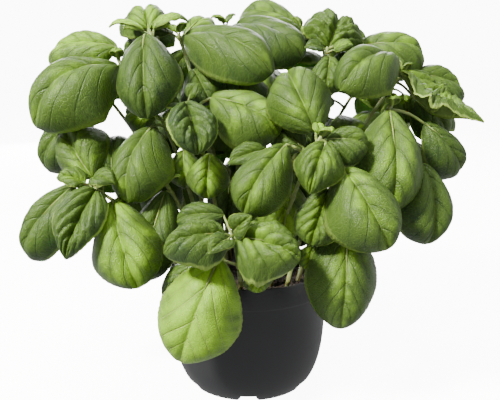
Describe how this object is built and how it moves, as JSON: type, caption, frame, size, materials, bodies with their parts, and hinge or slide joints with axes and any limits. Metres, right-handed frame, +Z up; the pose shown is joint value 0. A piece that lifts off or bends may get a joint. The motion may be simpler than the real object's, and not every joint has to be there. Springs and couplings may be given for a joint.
{
  "type": "potted basil plant",
  "caption": "Bushy sweet basil: a dome of leafy stems with domed ovate leaves, growing in a round black nursery pot of dark soil.",
  "frame": {"origin": "the centre of the pot's base, on the surface that it stands on", "axes": "+Z up out of the pot, -Y out of the plant's front, +X to the right as seen from the front"},
  "size_m": [0.3271, 0.2767, 0.2874],
  "materials": {
    "pot_plastic": "matte charcoal-black moulded plastic",
    "soil": "damp, crumbly, very dark brown peat; fabric's weight is the nearest to potting soil's",
    "foliage": "soft satin green leaves with sunken veins; leather's weight is the nearest to green leaves'"
  },
  "bodies": {
    "root": {"pot": "pot_plastic", "soil": "soil", "stem_01": "foliage", "stem_02": "foliage", "stem_03": "foliage", "stem_04": "foliage", "stem_05": "foliage", "stem_06": "foliage", "stem_07": "foliage", "stem_08": "foliage", "stem_09": "foliage", "stem_10": "foliage", "stem_11": "foliage", "stem_12": "foliage", "stem_13": "foliage", "stem_14": "foliage", "stem_15": "foliage", "stem_16": "foliage", "stem_17": "foliage", "stem_18": "foliage", "stem_19": "foliage", "stem_20": "foliage", "stem_21": "foliage", "stem_22": "foliage", "stem_23": "foliage"}
  },
  "joints": []
}
